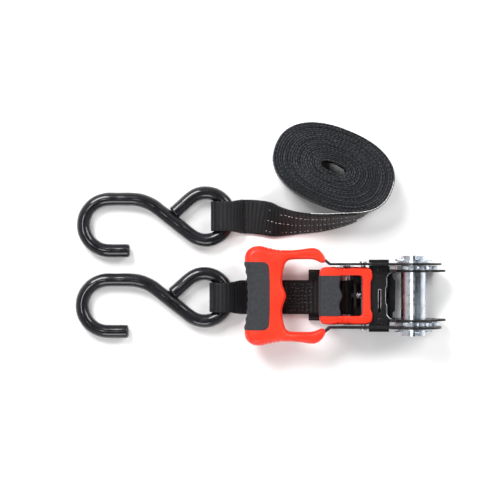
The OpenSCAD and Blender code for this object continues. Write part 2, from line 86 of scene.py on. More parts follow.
class Shader:
    """Builds one procedural node material; every texture reads object coordinates in metres."""

    def __init__(self, name, **values):
        self.material = bpy.data.materials.new(name)
        self.material.use_nodes = True
        self.tree = self.material.node_tree
        self.main = self.tree.nodes["Principled BSDF"]
        self.place = self.tree.nodes.new("ShaderNodeTexCoord").outputs["Object"]
        self.normal = None
        for key, value in values.items():
            self.main.inputs[key.replace("_", " ")].default_value = value

    def node(self, kind, inputs=None, **settings):
        """One node: inputs are sockets to link or values to set, settings its own properties."""
        made = self.tree.nodes.new(kind)
        for key, value in settings.items():
            setattr(made, key, value)
        for key, value in (inputs or {}).items():
            if isinstance(value, bpy.types.NodeSocket):
                self.tree.links.new(value, made.inputs[key])
            else:
                made.inputs[key].default_value = value
        return made

    def noise(self, scale, detail=3.0, rough=0.55, where=None):
        """Noise from 0 to 1, with scale features per metre."""
        return self.node("ShaderNodeTexNoise", {
            "Vector": where or self.place, "Scale": scale, "Detail": detail,
            "Roughness": rough}).outputs["Fac"]

    def stretched(self, scale):
        """Object coordinates scaled unevenly, for brushed or woven grain."""
        return self.node("ShaderNodeMapping", {"Vector": self.place, "Scale": scale}
                         ).outputs["Vector"]

    def ramp(self, fac, low, high, a=0.0, b=1.0):
        """fac from low to high becomes a to b, and stays there outside that range."""
        return self.node("ShaderNodeMapRange", {
            "Value": fac, "From Min": low, "From Max": high, "To Min": a, "To Max": b}
        ).outputs["Result"]

    def blend(self, fac, one, two):
        """Colour one where fac is 0, two where it is 1, and a mix between."""
        made = self.tree.nodes.new("ShaderNodeMix")
        made.data_type = "RGBA"
        for index, value in ((0, fac), (6, one), (7, two)):
            if isinstance(value, bpy.types.NodeSocket):
                self.tree.links.new(value, made.inputs[index])
            else:
                made.inputs[index].default_value = value
        return made.outputs[2]

    def math(self, operation, a, b=0.0):
        """One step of arithmetic on sockets or numbers."""
        made = self.node("ShaderNodeMath", operation=operation)
        for index, value in ((0, a), (1, b)):
            if isinstance(value, bpy.types.NodeSocket):
                self.tree.links.new(value, made.inputs[index])
            else:
                made.inputs[index].default_value = value
        return made.outputs[0]

    def bump(self, height, strength, distance):
        """Fine relief: height from 0 to 1 stands for distance metres, on top of earlier bumps."""
        inputs = {"Height": height, "Strength": strength, "Distance": distance}
        if self.normal is not None:
            inputs["Normal"] = self.normal
        self.normal = self.node("ShaderNodeBump", inputs).outputs["Normal"]

    def soft_edges(self, radius, samples=4):
        """Rounds the normals at edges by radius metres, as a pressed or tumbled part has them."""
        self.normal = self.node("ShaderNodeBevel", {"Radius": radius}, samples=samples
                                ).outputs["Normal"]

    def set(self, socket, value):
        """Drives one socket of the main shader."""
        self.tree.links.new(value, self.main.inputs[socket])

    def done(self):
        """The finished material."""
        if self.normal is not None:
            self.set("Normal", self.normal)
        return self.material


def paint(obj, material):
    """Every material slot of obj takes this material."""
    if not obj.data.materials:
        obj.data.materials.append(material)
    for index in range(len(obj.data.materials)):
        obj.data.materials[index] = material


paper = Shader("pale_paper", Roughness=0.75)
paper.set("Base Color", paper.blend(paper.noise(9.0, 5.0),
                                    (0.86, 0.86, 0.865, 1), (0.9, 0.9, 0.9, 1)))
paper.bump(paper.noise(900.0), 0.05, 0.0002)
# The sweep glows a little from half a metre out, as a lit backdrop does, so it stays white.
away_from_set = paper.node("ShaderNodeVectorMath", {0: paper.place}, operation="LENGTH")
paper.main.inputs["Emission Color"].default_value = (1.0, 1.0, 1.0, 1)
paper.set("Emission Strength", paper.ramp(away_from_set.outputs["Value"], 0.5, 2.0, 0.0, 0.6))
REACH = 9.0
floor = mesh_piece("floor", [(-REACH, -REACH, 0), (REACH, -REACH, 0), (REACH, REACH, 0),
                             (-REACH, REACH, 0)], [(0, 1, 2, 3)])
paint(floor, paper.done())

# The room's walls are bright and its ceiling is dim, so that flat faces stay deep in colour.
world = bpy.data.worlds.new("room")
world.use_nodes = True
room = world.node_tree
toward = room.nodes.new("ShaderNodeSeparateXYZ")
room.links.new(room.nodes.new("ShaderNodeTexCoord").outputs["Generated"], toward.inputs[0])
height = room.nodes.new("ShaderNodeMapRange")
height.interpolation_type = "SMOOTHSTEP"
for key, value in (("From Min", 0.45), ("From Max", 0.95), ("To Min", 0.62), ("To Max", 0.05)):
    height.inputs[key].default_value = value
room.links.new(toward.outputs["Z"], height.inputs["Value"])
room.links.new(height.outputs["Result"], room.nodes["Background"].inputs["Strength"])
room.nodes["Background"].inputs["Color"].default_value = (1.0, 1.0, 1.0, 1)
bpy.context.scene.world = world

# Each soft box is a square light that faces the middle of the set.
for name, place, size, watts in (
        ("key_box", (-0.70, 1.05, 1.25), 0.75, 31.0), ("side_box", (1.15, 0.75, 1.15), 0.9, 19.0),
        ("front_box", (-0.2, -1.35, 1.1), 0.8, 11.0), ("top_box", (-0.60, 0.02, 1.85), 0.4, 6.0)):
    lamp = bpy.data.lights.new(name, "AREA")
    lamp.size = size
    lamp.energy = watts
    box = link(bpy.data.objects.new(name, lamp))
    box.location = place
    box.rotation_euler = (-Vector(place)).to_track_quat("-Z", "Y").to_euler()

# ---- hooks ----
# Two S-hooks of 8 mm steel rod, bent cold: an eye that holds the webbing, a straight shank and
# a big open bend. Each is dipped in black vinyl, which leaves a glossy, slightly wavy skin that
# closes over both cut ends, and lies on its open bend with the eye raised by the webbing.

COAT_R = 0.005
EYE_LIFT_MM, EYE_TO_BEND_MM = 1.65, 109.3
SHORT_HOOK_XY, LONG_HOOK_XY = (-0.1366, -0.0016), (-0.1356, 0.0588)


def joined(*parts):
    """Points and lists of points as one array."""
    return np.concatenate([np.atleast_2d(np.asarray(p, float)) for p in parts])


def arc_of(centre, radius, start, end, count):
    """Points on a circle from one angle to another, in degrees."""
    angle = np.radians(np.linspace(start, end, count))
    return np.stack([centre[0] + radius * np.cos(angle), centre[1] + radius * np.sin(angle)], 1)


def lengths(points):
    """Distance run along the points at each of them."""
    steps = np.linalg.norm(np.diff(points, axis=0), axis=1)
    return np.concatenate([[0.0], np.cumsum(steps)])


def even(points, step, soften=0.0, closed=False):
    """The line through points again at an even step, smoothed over the length soften."""
    points = np.asarray(points, float)
    if closed:
        points = np.vstack([points, points[:1]])
    run = lengths(points)
    count = max(8, int(round(run[-1] / step)))
    s = np.linspace(0, run[-1], count + 1)
    line = np.stack([np.interp(s, run, points[:, k]) for k in range(points.shape[1])], 1)
    if closed:
        line = line[:-1]
    if soften > 0:
        reach = max(1, int(round(2.5 * soften / step)))
        weight = np.exp(-0.5 * (np.arange(-reach, reach + 1) * step / soften) ** 2)
        weight /= weight.sum()
        if closed:
            padded = np.vstack([line[-reach:], line, line[:reach]])
        else:
            padded = np.vstack([2 * line[0] - line[1:reach + 1][::-1], line,
                                2 * line[-1] - line[-reach - 1:-1][::-1]])
        line = np.stack([np.convolve(padded[:, k], weight, "valid")
                         for k in range(line.shape[1])], 1)
    return line


def unit(v):
    """Vectors scaled to length 1."""
    return v / np.maximum(np.linalg.norm(v, axis=-1, keepdims=True), 1e-12)


def skin(name, rings, uv=None):
    """A closed tube over an (n, k, 3) array of rings: quads between the rings and one flat face
    at each end. If the tube's signed volume is negative, its faces are turned round."""
    n, k = rings.shape[:2]
    i, j = np.meshgrid(np.arange(n - 1), np.arange(k), indexing="ij")
    a, b = i * k + j, i * k + (j + 1) % k
    quads = np.stack([a, b, b + k, a + k], -1).reshape(-1, 4)
    ends = [list(range(k))[::-1], list(range((n - 1) * k, n * k))]
    points = rings.reshape(-1, 3)
    obj = mesh_piece(name, points, quads.tolist() + ends)
    p0, p1, p2, p3 = points[quads.T]
    if np.sum(p0 * np.cross(p1, p2)) + np.sum(p0 * np.cross(p2, p3)) < 0:
        obj.data.flip_normals()
    if uv is not None:
        layer = obj.data.uv_layers.new(name="weave")
        corner = np.zeros(len(obj.data.loops), np.int32)
        obj.data.loops.foreach_get("vertex_index", corner)
        layer.data.foreach_set("uv", uv.reshape(-1, 2)[corner].astype(np.float32).ravel())
    return obj


def hook_line():
    """Plan of the rod's middle line from the cut end by the eye to the open tip: a straight leg,
    the eye's arc, the shank, a wide arc, and the open bend with its straight tip."""
    # Radii and straight lengths in mm, angles of the leg and the shank in degrees.
    eye_r, rise_r, bend_r = 17.8, 32.0, 19.3
    leg_len, shank_len, top_len, tip_len = 16.4, 32.4, 16, 15.6
    leg, shank = 42.0, 38.3
    leg_sin, leg_cos = math.sin(math.radians(leg)), math.cos(math.radians(leg))
    shank_sin, shank_cos = math.sin(math.radians(shank)), math.cos(math.radians(shank))
    leg_end = eye_r * np.array([-1 - leg_sin, leg_cos]) - leg_len * np.array([leg_cos, leg_sin])
    shank_to = (eye_r * np.array([-1 - shank_sin, -shank_cos])
                + shank_len * np.array([-shank_cos, shank_sin]))
    rise_mid = shank_to - rise_r * np.array([shank_sin, shank_cos])
    bend_mid = rise_mid + [-top_len, rise_r - bend_r]
    line = joined(leg_end, arc_of((-eye_r, 0), eye_r, 90 + leg, -90 - shank, 120),
                  arc_of(rise_mid, rise_r, 90 - shank, 90, 24),
                  arc_of(bend_mid, bend_r, 90, 270, 90), bend_mid + [tip_len, -bend_r])
    return line / 1000


def wire_rings(line, radius, sides, level, up):
    """Circles of that radius round each point of a line, in the plane of level and up."""
    angle = np.linspace(0, 2 * math.pi, sides + 1)[:-1, None]
    return line[:, None] + radius * (np.cos(angle) * level[:, None] + np.sin(angle) * up[:, None])


def dipped_rod(name, x, y):
    """A round rod along hook_line. Its radius is the coat's times two slow waves of 1 %, and
    falls by a third over the last 1.6 mm, which leaves flat ends with rounded rims."""
    plan = even(hook_line(), 0.0005, 0.0018)
    run = lengths(plan)
    end = np.minimum(run, run[-1] - run)
    rim = 1 - 0.34 * np.clip(1 - end / 0.0016, 0, 1) ** 2.2
    wave = 1 + 0.010 * np.sin(run * 210 + x * 900) + 0.008 * np.sin(run * 530 + 1.3)
    radius = COAT_R * rim * wave * 0.99
    line = np.column_stack([plan, np.zeros(len(plan))])
    ahead = unit(np.gradient(line, axis=0))
    level = unit(np.cross(ahead, [0, 0, 1.0]))
    rings = wire_rings(line, radius[:, None, None], 32, level, np.cross(level, ahead))
    tilt = math.asin(EYE_LIFT_MM / EYE_TO_BEND_MM)
    turn = np.array([[math.cos(tilt), 0, -math.sin(tilt)], [0, 1, 0],
                     [math.sin(tilt), 0, math.cos(tilt)]])
    return skin(name, rings @ turn.T + SEAT + [x, y, EYE_LIFT_MM / 1000 + COAT_R])


vinyl = Shader("dipped_vinyl", Roughness=0.2, Specular_IOR_Level=0.2, Coat_Weight=0.45,
               Coat_Roughness=0.06)
vinyl.set("Base Color", vinyl.blend(vinyl.ramp(vinyl.noise(120.0, 5.0), 0.35, 0.7),
                                    (0.006, 0.006, 0.008, 1), (0.012, 0.012, 0.015, 1)))
vinyl.set("Roughness", vinyl.ramp(vinyl.noise(260.0, 6.0, 0.7), 0.3, 0.72, 0.15, 0.30))
vinyl.bump(vinyl.noise(160.0, 2.0), 0.22, 0.0006)
vinyl.bump(vinyl.noise(1900.0, 3.0), 0.10, 0.00012)
vinyl_skin = vinyl.done()
for hook, (x, y) in (("short_hook", SHORT_HOOK_XY), ("long_hook", LONG_HOOK_XY)):
    rod = dipped_rod(hook + "_dipped_rod", x, y)
    paint(rod, vinyl_skin)
    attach(rod, hook)
    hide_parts(hook + "_coat", hook + "_rod")

# ---- webbing ----
# One-inch black polyester webbing with heavy ribs across its width, 3 mm apart, and small
# loops of thread along both edges. The short strap is folded round its hook at one end and
# round the anchor bolt at the other, and sewn down on itself.

WEB_W, EYE_W, RIB = 0.0254, 0.022, 0.0030


def catmull(points, steps):
    """The smooth curve through the points, with that many steps between each pair."""
    p = np.asarray(points, float)
    p = np.vstack([p[:1], p, p[-1:]])
    t = np.arange(steps)[None, :, None] / steps
    a, b, c, d = (p[k:len(p) - 3 + k][:, None] for k in range(4))
    curve = 0.5 * (2 * b + (c - a) * t + (2 * a - 5 * b + 4 * c - d) * t ** 2
                   + (3 * b - a - 3 * c + d) * t ** 3)
    return np.vstack([curve.reshape(-1, p.shape[1]), p[-1:]])


def outward_of(ahead, across):
    """The way that a strap's upper face looks."""
    return unit(np.cross(ahead, across))


def ribbed(name, middle, across, width, phase=0.0, seed=3):
    """A closed webbing strip. At distance s its half thickness is 0.34 mm plus 0.25 mm times
    |sin(pi s / rib)| to the power 0.7, so each rib is round with a sharp valley beside it, and
    its edges swell by 0.1 mm at every second thread."""
    run = lengths(middle)
    ahead = unit(np.gradient(middle, axis=0))
    across = unit(across - ahead * np.sum(across * ahead, 1, keepdims=True))
    outward = outward_of(ahead, across)
    rng = np.random.default_rng(seed)
    wander = np.interp(run, np.linspace(0, run[-1], 40), rng.normal(0, 0.00018, 40))
    side = np.linspace(-1, 1, 16)
    side = np.sign(side) * (1 - (1 - np.abs(side)) ** 1.25)
    at = run[:, None] + wander[:, None] + 0.0003 * side[None, :] ** 2 + phase
    rib = np.abs(np.sin(math.pi * at / RIB)) ** 0.7
    edge = np.clip((1 - np.abs(side)) / 0.07, 0, 1) ** 0.5
    half = (0.00034 + 0.00025 * rib) * (0.55 + 0.45 * edge[None, :])
    reach = width / 2 + 0.00010 * np.sin(2 * math.pi * (run + wander) / 0.0015)
    flat = middle[:, None] + side[None, :, None] * reach[:, None, None] * across[:, None]
    upper = flat + half[..., None] * outward[:, None]
    lower = flat - half[..., None] * outward[:, None]
    rings = np.concatenate([upper, lower[:, ::-1]], 1)
    v = np.concatenate([side, side[::-1] + 4.0]) * WEB_W / 2
    uv = np.stack([np.concatenate([at, at[:, ::-1]], 1), np.broadcast_to(v, (len(run), len(v)))], -1)
    return skin(name, rings, uv=uv)


def web_material(name, dark, light, rough, glint_speck):
    """Black filament webbing: fine threads along the strap, picks across it, painted glints on single
    filaments and painted shade in the ribs' valleys.
    The weave reads the piece's own map, which is in metres along the strap and across it."""
    made = Shader(name, Roughness=rough, Sheen_Weight=0.06, Sheen_Roughness=0.45,
                  Specular_IOR_Level=0.2)
    flat = made.node("ShaderNodeUVMap", uv_map="weave").outputs["UV"]
    threads = made.node("ShaderNodeTexWave", {
        "Vector": flat, "Scale": 330.0, "Distortion": 2.2, "Detail": 2.0, "Detail Scale": 3.0},
        bands_direction="Y").outputs["Fac"]
    picks = made.node("ShaderNodeTexWave", {
        "Vector": flat, "Scale": 210.0, "Distortion": 1.2, "Detail": 2.0},
        bands_direction="X").outputs["Fac"]
    along = made.node("ShaderNodeSeparateXYZ", {"Vector": flat}).outputs["X"]
    rib = made.math("ABSOLUTE", made.math("SINE", made.math("MULTIPLY", along, math.pi / RIB)))
    weave = made.math("MULTIPLY", threads, made.ramp(picks, 0.0, 1.0, 0.55, 1.0))
    # The colour falls to an eighth in the ribs' valleys: painted shade where the ribs hide the light.
    weave = made.math("MULTIPLY", weave, made.ramp(rib, 0.25, 0.9, 0.12, 1.0))
    # Light flecks on single filaments are painted glints.
    glint_fleck = made.ramp(made.noise(1050.0, 3.0, 0.75), 0.53, 0.70)
    tone = made.math("ADD", made.math("MULTIPLY", weave, 0.65), made.math("MULTIPLY", glint_fleck, glint_speck))
    made.set("Base Color", made.blend(tone, (*dark, 1), (*light, 1)))
    made.set("Roughness", made.ramp(weave, 0.0, 1.0, rough + 0.14, rough - 0.10))
    made.bump(weave, 0.55, 0.00022)
    made.bump(made.noise(900.0, 4.0), 0.25, 0.0002)
    return made.done()


webbing = web_material("black_webbing", (0.0025, 0.0025, 0.003), (0.030, 0.031, 0.036), 0.42, 0.40)

# Side view of the loop round a hook's eye: (x, z) in mm, from the top of the hook's eye.
EYE_LOOP = [(13.4, 2.5), (9.5, 5.6), (4.5, 12.2), (-1, 15.6), (-5.5, 16.2), (-10, 14.2),
            (-13.2, 9.2), (-13.4, 6.2), (-11.9, 3.2), (-6.6, 0.8), (0, 0.64)]


def drawn_in(x):
    """Width of the webbing at x metres from the hook's origin: narrower where the eye holds it."""
    return EYE_W + (WEB_W - EYE_W) * np.clip((x - 0.001) / 0.0085, 0, 1)


# Side view of the short strap from its first cut end: along the table, round the hook's eye,
# on to the bolt, round it and back to the second cut end, in mm from the spool's axis.
hook_x, hook_y = SHORT_HOOK_XY
to_bolt = [(-111, 0.62), (-118, 0.66)] + [(x + hook_x * 1000, z) for x, z in EYE_LOOP[::-1]] + [
    (-116.5, 1.96), (-108, 1.88), (-96, 2.0), (-84, 2.75), (-66, 2.72), (-55, 2.65)]
round_bolt = arc_of((-48.4, 6.5), 3.85, -90, 96, 24)
back = [(-48.85, 10.33), (-54, 9.4), (-62, 6.9), (-70, 4.9), (-78, 4.15), (-86, 3.9), (-95, 3.35)]
side_view = joined(catmull(to_bolt, 8), round_bolt, catmull(back, 8)[1:])
side_view = even(side_view / 1000, 0.00042, 0.0005)
short_line = np.column_stack([side_view[:, 0], np.full(len(side_view), hook_y),
                              side_view[:, 1]]) + SEAT
short_across = np.tile([0.0, 1.0, 0.0], (len(short_line), 1))
short_web = ribbed("short_strap_webbing", short_line, short_across,
                   drawn_in(side_view[:, 0] - hook_x))
paint(short_web, webbing)
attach(short_web, "base")
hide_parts("short_strap")

# ---- long strap: folded end, twisting run and roll ----
# The long strap leaves its fold round the hook lying flat, turns up on its edge and is wound
# into an oval roll that stands on the strap's edge. The sewn tail lies against the run's face.

# The roll's middle and its half axes at the outside and at the core, in mm.
ROLL_MID, ROLL_OUT, ROLL_CORE = np.array([[-59.0, 94.4], [45.9, 29.3], [9.4, 3.7]])
ROLL_TURNS, ROLL_LEAN = 20, math.radians(-22)


def roll_at(turns):
    """The spiral's point a number of turns after its outer end, in mm: half axes that shrink
    evenly, each coordinate cos or sin of the angle to the power 0.87, leaning by -22 degrees."""
    turns = np.asarray(turns, float)
    angle = np.radians(-35 + 360 * turns)
    radius = ROLL_OUT + (ROLL_CORE - ROLL_OUT) * turns[..., None] / ROLL_TURNS
    full = np.stack([np.cos(angle), np.sin(angle)], -1)
    full = np.sign(full) * np.abs(full) ** 0.87 * radius
    return ROLL_MID + np.stack([
        full[..., 0] * math.cos(ROLL_LEAN) - full[..., 1] * math.sin(ROLL_LEAN),
        full[..., 0] * math.sin(ROLL_LEAN) + full[..., 1] * math.cos(ROLL_LEAN)], -1)


# The run from the hook to the roll: (x, y) in mm and how far the strap has turned up, in degrees.
RUN = [(-127, 58.8, 0), (-118, 58.6, 0), (-109, 57.6, 8), (-98, 55.4, 36), (-83.5, 54.2, 55),
       (-67, 54.6, 63), (-50, 57.0, 72), (-38, 59.8, 82), (*roll_at(0.0), 90)]
lead = catmull(RUN, 6)
tilt = np.radians(np.clip(lead[:, 2], 0, 90))
ahead = unit(np.gradient(lead[:, :2], axis=0))
flat_way = np.column_stack([-ahead[:, 1], ahead[:, 0], np.zeros(len(ahead))])
lead_across = np.cos(tilt)[:, None] * flat_way + np.sin(tilt)[:, None] * np.array([0, 0, 1.0])
lead_out = np.cross(np.column_stack([ahead, np.zeros(len(ahead))]), lead_across)
lead_mid = np.column_stack([lead[:, :2], 12.7 * np.sin(tilt) + 0.6 * np.cos(tilt)])
# The tail lies 1.26 mm off the first 40 steps of the run, and the loop joins the two.
sewn_part = slice(40, None, -1)
tail = lead_mid[sewn_part] + 1.26 * lead_out[sewn_part]
loop = catmull([(9.6, 1.86)] + EYE_LOOP[1:-1] + [(0, 0.64), (7.6, 0.6)], 5)[1:-1]
hook_x, hook_y = LONG_HOOK_XY
loop_mid = np.column_stack([loop[:, 0] + hook_x * 1000, np.full(len(loop), hook_y * 1000),
                            loop[:, 1]])
middle = joined(tail, loop_mid, lead_mid)
across = joined(lead_across[sewn_part], np.tile([0, 1.0, 0], (len(loop), 1)), lead_across)
width = np.concatenate([np.full(len(tail), WEB_W), drawn_in(loop[:, 0] / 1000),
                        np.full(len(lead), WEB_W)])
# Places, directions and widths are evened out together, in scales that keep the step's length.
both = even(np.column_stack([middle / 1000, across * 0.001, width * 0.1]), 0.00042, 0.0009)
long_line, long_across = both[:, :3] + SEAT, both[:, 3:6] * 1000
long_web = ribbed("long_strap_webbing", long_line, long_across, both[:, 6] * 10,
                  phase=0.0011, seed=5)
paint(long_web, webbing)
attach(long_web, "long_strap")
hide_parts("long_strap")

turns = np.linspace(0, ROLL_TURNS, ROLL_TURNS * 600)
spiral = even(roll_at(turns) / 1000, 0.00042)
run = lengths(spiral)
ahead = unit(np.gradient(spiral, axis=0))
outer = np.column_stack([ahead[:, 1], -ahead[:, 0]])
# The strap is half as thick as the spiral's pitch at each place, so the turns nearly touch.
turn_at = np.interp(run, lengths(roll_at(turns) / 1000), turns)
inner_step = roll_at(turn_at) - roll_at(np.minimum(turn_at + 1, ROLL_TURNS + 0.999))
half = np.clip(np.abs(np.sum(inner_step * outer, 1)) / 1000 * 0.5, 0.0006, 0.00092)
rng = np.random.default_rng(11)
PICK = 0.00075
picks = np.interp(run, np.arange(0, run[-1] + 0.0008, PICK),
                  rng.uniform(0.25, 1.0, int(run[-1] / PICK) + 2))
loops = np.abs(np.sin(math.pi * run / (2 * PICK) + 0.8 * np.sin(run * 40))) * picks
rib = np.abs(np.sin(math.pi * run / RIB)) ** 0.7
sway = 0.00030 * np.sin(turn_at * 2 * math.pi * 1.7 + 3 * np.sin(turn_at * 2.3))
top = WEB_W - 0.0008 + sway
# Cross-section of one turn, going round it: (share of the half thickness, height), with the top
# edge's three threads raised by the loops, each thread out of step with its neighbour.
shift = [np.roll(loops, k) for k in (0, 1, 2)]
section = [
    (0.86 + 0.14 * rib, 0.0010), (0.86 + 0.14 * rib, 0.0120), (0.90 + 0.10 * rib, top - 0.0012),
    (0.80 + 0.16 * shift[0], top - 0.0001 + 0.0004 * shift[0]),
    (0.26 + 0.20 * shift[1], top + 0.0003 + 0.0006 * shift[1]),
    (-0.30 + 0.20 * shift[2], top + 0.0003 + 0.0006 * shift[2]),
    (-0.82 - 0.14 * shift[0], top - 0.0001 + 0.0004 * shift[0]),
    (-0.92 - 0.06 * rib, top - 0.0012), (-0.92 - 0.06 * rib, 0.0010), (-0.3, 0.0001), (0.3, 0.0001)]
side, height = (np.stack([np.broadcast_to(corner[k], len(run)) for corner in section], 1)
                for k in (0, 1))
rings = np.empty((*side.shape, 3))
rings[..., :2] = spiral[:, None] + (side * half[:, None])[..., None] * outer[:, None]
rings[..., 2] = height
uv = np.stack(np.broadcast_arrays(run[:, None], height + np.arange(len(section)) * 0.0002), -1)
roll = skin("wound_webbing", rings + SEAT, uv=uv)
# The roll takes a lighter copy of the webbing with brighter flecks: painted sheen and glints where light
# catches the threads of its upper edge.
sheen_lit_roll_web = web_material("wound_edge_painted_sheen", (0.0018, 0.002, 0.0027), (0.068, 0.072, 0.084), 0.5, 1.0)
paint(roll, sheen_lit_roll_web)
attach(roll, "long_strap")
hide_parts("strap_roll")

# ---- stitching ----
# The folded ends are sewn down by machine: rows of lockstitch along the strap, in pale thread on
# the long strap and black thread on the short one. The long strap also has a pale tracer thread.


def stitches(name, line, across, out, places, size):
    """Small rounded dashes, one at each (distance, offset) place on a strap, each (long, thick).
    A dash is six rings of six points, and is sqrt(1 - t^2) as thick from t = -1 to 1 along it."""
    run = lengths(line)

    def at_places(values):
        """Values known along the strap's line, as they are at each stitch."""
        return np.stack([np.interp(places[:, 0], run, values[:, k]) for k in range(3)], 1)

    ahead, side, up = (unit(at_places(v))[:, None, None]
                       for v in (np.gradient(line, run, axis=0), across, out))
    base = at_places(line)[:, None, None] + places[:, 1, None, None, None] * side
    t = np.linspace(-1, 1, 6)[:, None, None]
    bow = np.sqrt(np.clip(1 - (0.96 * t) ** 2, 0, 1))
    angle = np.linspace(0, 2 * math.pi, 7)[:-1, None]
    length, thick = size.T[:, :, None, None, None]
    points = (base + t * length / 2 * ahead + thick * bow * np.cos(angle) * side
              + thick * (0.5 * bow * np.sin(angle) + 0.5 * bow - 0.35) * up).reshape(-1, 3)
    i, j = np.meshgrid(np.arange(5), np.arange(6), indexing="ij")
    one = np.stack([i * 6 + j, i * 6 + (j + 1) % 6, (i + 1) * 6 + (j + 1) % 6, (i + 1) * 6 + j], -1)
    first_point = (np.arange(len(places)) * 36)[:, None]
    ends = np.arange(6)
    faces = (one.reshape(-1, 4) + first_point[..., None]).reshape(-1, 4).tolist()
    faces += (ends[::-1] + first_point).tolist() + (30 + ends + first_point).tolist()
    obj = mesh_piece(name, points, faces)
    first = points[:36].reshape(6, 6, 3)
    turn = np.dot(np.cross(first[0, 1] - first[0, 0], first[1, 0] - first[0, 0]),
                  first[0, 0] - first[0].mean(0))
    if turn < 0:
        obj.data.flip_normals()
    return obj


def thread_material(name, dark, light, rough):
    """Twisted thread, a little uneven in colour."""
    made = Shader(name, Roughness=rough, Sheen_Weight=0.3)
    made.set("Base Color", made.blend(made.ramp(made.noise(700.0, 4.0), 0.35, 0.65),
                                      (*dark, 1), (*light, 1)))
    made.bump(made.noise(5200.0, 2.0), 0.5, 0.0001)
    return made.done()


pale_thread = thread_material("pale_thread", (0.42, 0.41, 0.39), (0.95, 0.93, 0.90), 0.5)
black_thread = thread_material("black_thread", (0.02, 0.02, 0.022), (0.09, 0.09, 0.1), 0.35)



def row_places(rng, start, end, pitch, lag, offsets, stray):
    """(distance, offset) of each stitch in some rows across a strap. Every other row is lag
    further on, and each stitch strays a little along and across."""
    rows = []
    for k, offset in enumerate(offsets):
        s = np.arange(start, end, pitch) + lag * (k % 2)
        rows.append(np.column_stack([s + rng.normal(0, stray[0], len(s)),
                                     np.full(len(s), offset) + rng.normal(0, stray[1], len(s))]))
    return np.vstack(rows)


rng = np.random.default_rng(21)
across = unit(long_across)
out = outward_of(unit(np.gradient(long_line, axis=0)), across)
run = lengths(long_line)
tail_from = run[np.argmin(np.linalg.norm(long_line - (tail[0] / 1000 + SEAT), axis=1))]
sewn_to = run[np.argmin(np.abs(long_line[:len(long_line) // 2, 0] - (SEAT[0] - 0.1065)))]
places = row_places(rng, tail_from + 0.002, sewn_to, 0.0031, 0.0, (-0.0093, -0.0012, 0.0072),
                    (0.0003, 0.0002))
dashes = stitches("long_strap_stitches", long_line - out * 0.00062, across, -out, places,
                  np.column_stack([rng.uniform(0.0008, 0.0021, len(places)),
                                   rng.uniform(0.00016, 0.00032, len(places))]))
paint(dashes, pale_thread)
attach(dashes, "long_strap")

# The tracer is woven into the strap's upper edge: it shows from where the strap turns up, and
# along the first eighth of the roll's outermost turn.
turned_up = lead_mid[:, 0] > -76
tracer = joined(lead_mid[turned_up] + 12.75 * lead_across[turned_up],
                np.column_stack([roll_at(np.linspace(0.004, 0.13, 40)), np.full(40, 25.5)]))
tracer = even(tracer / 1000, 0.0006, 0.0012)
ahead = unit(np.gradient(tracer, axis=0))
flank = unit(np.cross(ahead, [0, 0, 1.0]))
thick = 0.00022 + 0.00008 * np.sin(lengths(tracer) * 2400)
rings = wire_rings(tracer, thick[:, None, None], 8, flank, np.cross(flank, ahead))
thread = skin("long_strap_tracer", rings + SEAT)
paint(thread, pale_thread)
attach(thread, "long_strap")

# Eight rows on the short strap, every other one half a stitch on, from 74 mm behind the spool.
run = lengths(short_line)
out = outward_of(unit(np.gradient(short_line, axis=0)), short_across)
if out[-20, 2] < 0:
    out = -out
last_half = slice(len(short_line) // 2, None)
sewn_from = run[last_half][np.argmin(np.abs(short_line[last_half, 0] - (SEAT[0] - 0.074)))]
places = row_places(rng, sewn_from, run[-1] - 0.0012, 0.0024, 0.0012,
                    np.linspace(-0.0098, 0.0098, 8), (0.0006, 0.0004))
dashes = stitches("short_strap_stitches", short_line + out * 0.00052, short_across, out, places,
                  np.column_stack([rng.uniform(0.0007, 0.0019, len(places)),
                                   rng.uniform(0.00014, 0.00032, len(places))]))
paint(dashes, black_thread)
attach(dashes, "base")

# ---- handle moulding and its soft overmould ----
# The grip is injection moulded in red nylon over the steel arms and bar, with bulging corners,
# waisted side rails and small ridges on its flanks. A charcoal soft skin is moulded over the
# far side of the bar, standing a little proud, with shallow finger waves along its edge.


def mirrored(half):
    """A closed outline, counterclockwise, from its half with y at or above 0."""
    half = np.asarray(half, float)
    other = half[::-1].copy()
    other[:, 1] *= -1
    keep = other[np.abs(other[:, 1]) > 1e-9]
    line = np.vstack([half, keep])
    x, y = line[:, 0], line[:, 1]
    if np.sum(x * np.roll(y, -1) - y * np.roll(x, -1)) < 0:
        line = line[::-1]
    return line


def inward(line):
    """The way into a counterclockwise outline, at each of its points."""
    ahead = np.roll(line, -1, 0) - np.roll(line, 1, 0)
    return unit(np.column_stack([-ahead[:, 1], ahead[:, 0]]))


def relaxed(line, times):
    """A closed line smoothed a number of times, each point going halfway to its neighbours."""
    for _ in range(times):
        line = line + 0.25 * (np.roll(line, 1, 0) + np.roll(line, -1, 0) - 2 * line)
    return line


def rounded_sides(line, middle_z, half_height, reach, drop, rows=9, relax=0):
    """Loops of one moulded edge, from the bottom face's rim round to the top's: a quarter of an
    ellipse that goes in by reach while it rises by drop, and the same below middle_z."""
    t = np.linspace(0, math.pi / 2, rows)
    normal = inward(line)
    loops = []
    for i, u in zip(1 - np.cos(t), np.sin(t)):
        moved = line + normal * np.broadcast_to(reach * i, len(line))[:, None]
        if relax:
            moved = relaxed(moved, int(relax * i) + 1)
        z = middle_z + half_height - drop + drop * u
        loops.append(np.column_stack([moved, np.broadcast_to(z, len(line))]))
    under = [np.column_stack([p[:, :2], 2 * middle_z - p[:, 2]]) for p in loops[::-1]]
    return under + loops


